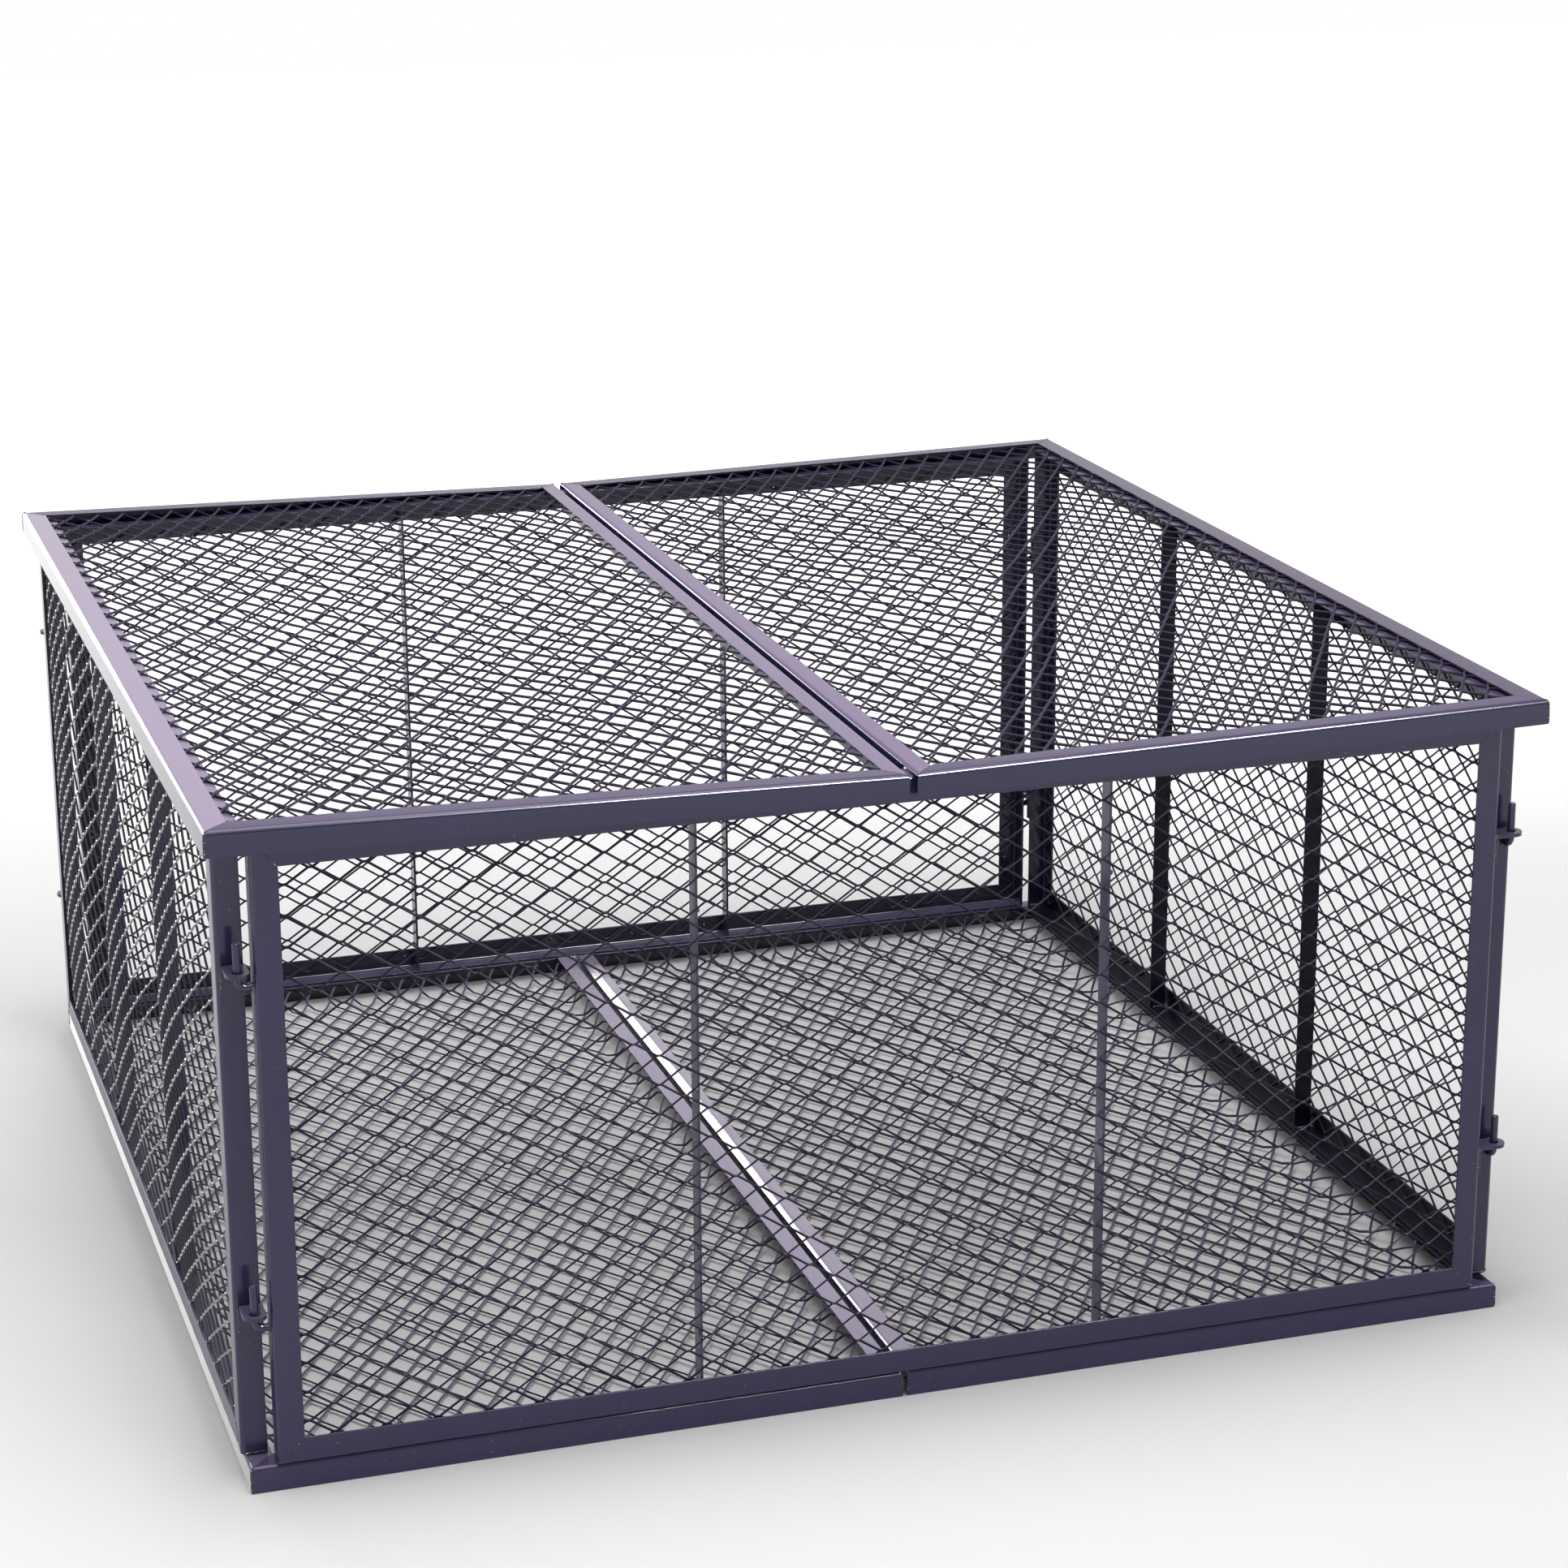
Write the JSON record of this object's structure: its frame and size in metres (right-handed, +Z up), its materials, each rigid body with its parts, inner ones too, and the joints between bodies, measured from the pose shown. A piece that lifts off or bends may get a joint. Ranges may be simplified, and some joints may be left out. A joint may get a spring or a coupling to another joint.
{
  "type": "compost bin",
  "caption": "Low square garden compost bin of expanded metal mesh in welded angle frames, with hooked wall panels, a split lid and a split mesh floor.",
  "frame": {"origin": "centre of the square footprint on the ground", "axes": "+Z up, +X to the right seen from the front, the front wall faces -Y, and the lid and floor are split along Y"},
  "size_m": [1.0506, 1.05, 0.5199],
  "materials": {
    "frame_steel": "satin slate paint",
    "net_steel": "satin slate paint",
    "hinge_steel": "satin slate paint"
  },
  "bodies": {
    "floor": {"floor_left_front_rail": "frame_steel", "floor_left_back_rail": "frame_steel", "floor_left_outer_rail": "frame_steel", "floor_left_centre_rail": "frame_steel", "floor_left_mesh": "net_steel", "floor_right_front_rail": "frame_steel", "floor_right_back_rail": "frame_steel", "floor_right_outer_rail": "frame_steel", "floor_right_centre_rail": "frame_steel", "floor_right_mesh": "net_steel"},
    "left_wall": {"left_wall_top_rail": "frame_steel", "left_wall_bottom_rail": "frame_steel", "left_wall_left_upright": "frame_steel", "left_wall_right_upright": "frame_steel", "left_wall_mesh": "net_steel", "left_wall_bar_1": "frame_steel", "left_wall_bar_2": "frame_steel", "left_wall_lower_eye": "hinge_steel", "left_wall_upper_eye": "hinge_steel"},
    "front_wall": {"front_wall_top_rail": "frame_steel", "front_wall_bottom_rail": "frame_steel", "front_wall_left_upright": "frame_steel", "front_wall_right_upright": "frame_steel", "front_wall_mesh": "net_steel", "front_wall_bar_1": "frame_steel", "front_wall_bar_2": "frame_steel", "front_wall_lower_eye": "hinge_steel", "front_wall_upper_eye": "hinge_steel"},
    "right_wall": {"right_wall_top_rail": "frame_steel", "right_wall_bottom_rail": "frame_steel", "right_wall_left_upright": "frame_steel", "right_wall_right_upright": "frame_steel", "right_wall_mesh": "net_steel", "right_wall_bar_1": "frame_steel", "right_wall_bar_2": "frame_steel", "right_wall_lower_eye": "hinge_steel", "right_wall_upper_eye": "hinge_steel"},
    "back_wall": {"back_wall_top_rail": "frame_steel", "back_wall_bottom_rail": "frame_steel", "back_wall_left_upright": "frame_steel", "back_wall_right_upright": "frame_steel", "back_wall_mesh": "net_steel", "back_wall_bar_1": "frame_steel", "back_wall_bar_2": "frame_steel", "back_wall_lower_eye": "hinge_steel", "back_wall_upper_eye": "hinge_steel"},
    "lid_left": {"lid_left_front_rail": "frame_steel", "lid_left_back_rail": "frame_steel", "lid_left_outer_rail": "frame_steel", "lid_left_centre_rail": "frame_steel", "lid_left_mesh": "net_steel"},
    "lid_right": {"lid_right_front_rail": "frame_steel", "lid_right_back_rail": "frame_steel", "lid_right_outer_rail": "frame_steel", "lid_right_centre_rail": "frame_steel", "lid_right_mesh": "net_steel"}
  },
  "joints": [
    {"name": "walls_lift", "type": "slide", "parent": "floor", "child": "left_wall", "axis": [0, 0, 1], "range_m": [0, 0.3]},
    {"name": "corner_front_left", "type": "hinge", "parent": "left_wall", "child": "front_wall", "pos_m": [-0.5035, -0.509, 0.2725], "axis": [0, 0, 1], "range_deg": [-0.3, 0.3]},
    {"name": "corner_front_right", "type": "hinge", "parent": "front_wall", "child": "right_wall", "pos_m": [0.509, -0.5035, 0.2725], "axis": [0, 0, 1], "range_deg": [-0.3, 0.3]},
    {"name": "corner_back_right", "type": "hinge", "parent": "right_wall", "child": "back_wall", "pos_m": [0.5035, 0.509, 0.2725], "axis": [0, 0, 1], "range_deg": [-0.3, 0.3]},
    {"name": "lid_left_lift", "type": "slide", "parent": "left_wall", "child": "lid_left", "axis": [0, 0, 1], "range_m": [0, 0.4]},
    {"name": "lid_right_lift", "type": "slide", "parent": "left_wall", "child": "lid_right", "axis": [0, 0, 1], "range_m": [0, 0.4]}
  ],
  "couplings": [
    {"joint": "corner_front_right", "follows": "corner_front_left", "ratio": -1},
    {"joint": "corner_back_right", "follows": "corner_front_left", "ratio": 1}
  ]
}
